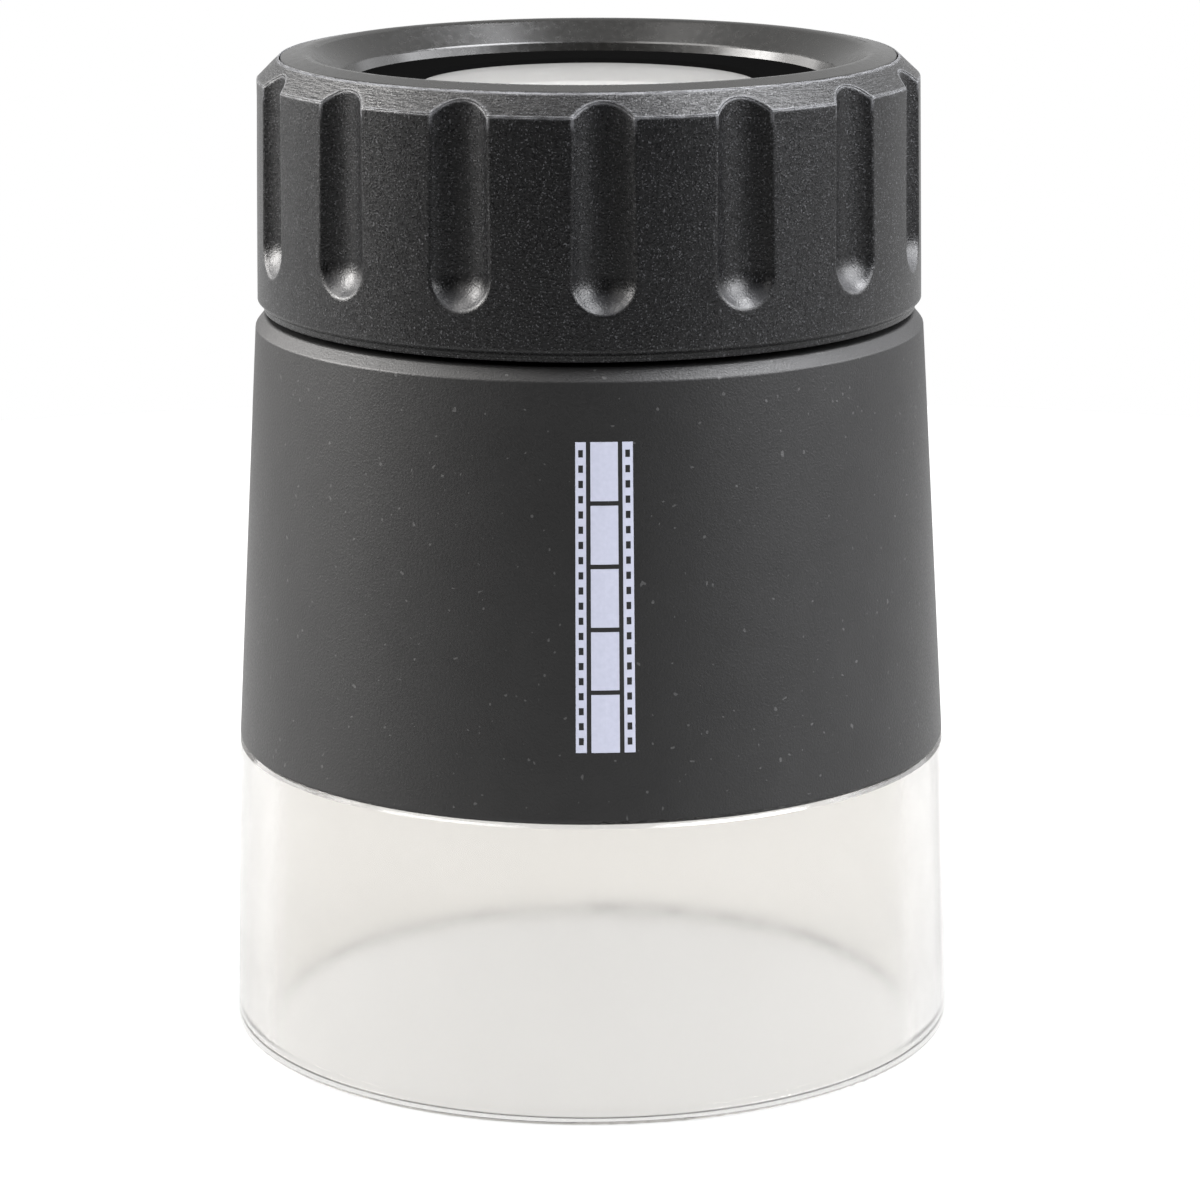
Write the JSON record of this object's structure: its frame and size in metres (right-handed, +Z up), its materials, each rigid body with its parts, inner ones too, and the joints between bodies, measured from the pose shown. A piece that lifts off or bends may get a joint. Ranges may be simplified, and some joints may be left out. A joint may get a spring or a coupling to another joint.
{
  "type": "viewing loupe",
  "caption": "Focusing viewing loupe: fluted focus ring, tapered black barrel, clear skirt that rests on film or a light table, two cemented doublets inside.",
  "frame": {"origin": "centre of the clear skirt's resting rim, on the surface that the loupe stands on", "axes": "+Z up the optical axis towards the eye, -Y the front with the printed scale, +X to its right"},
  "size_m": [0.05, 0.05, 0.0677],
  "materials": {
    "clear_acrylic": "clear, polished",
    "barrel_black": "satin, fine moulded grain",
    "ring_black": "matte, coarse spark-eroded grain",
    "eyecup_black": "smooth satin",
    "retainer_black": "matte black anodised",
    "baffle_black": "dead matte",
    "black_aluminium": "black anodised",
    "optical_glass": "polished, coated",
    "spring_steel": "bright",
    "screw_steel": "blackened",
    "pin_brass": "turned",
    "slip_plastic": "white slip plastic"
  },
  "bodies": {
    "base": {"clear_skirt": "clear_acrylic", "skirt_snap_ring": "spring_steel", "barrel": "barrel_black", "light_baffle": "baffle_black", "focus_tube": "black_aluminium", "tube_screws": "screw_steel"},
    "eyepiece": {"lens_cell": "black_aluminium", "guide_pins": "pin_brass", "eyecup": "eyecup_black", "eye_lens_retainer": "retainer_black", "eye_flint_lens": "optical_glass", "eye_crown_lens": "optical_glass", "lens_spacer": "black_aluminium", "field_crown_lens": "optical_glass", "field_flint_lens": "optical_glass", "cell_circlip": "spring_steel", "preload_washer": "spring_steel", "thrust_washer": "slip_plastic"},
    "focus_ring": {"grip_ring": "ring_black", "follower_sleeve": "black_aluminium", "follower_pins": "pin_brass"}
  },
  "joints": [
    {"name": "focus_rise", "type": "slide", "parent": "base", "child": "eyepiece", "axis": [0, 0, 1], "range_m": [0, 0.005]},
    {"name": "focus_turn", "type": "hinge", "parent": "eyepiece", "child": "focus_ring", "pos_m": [0, 0, 0.0589], "axis": [0, 0, 1], "range_deg": [0, 150]}
  ],
  "couplings": [
    {"joint": "focus_turn", "follows": "focus_rise", "rad_per_m": 523.6}
  ]
}
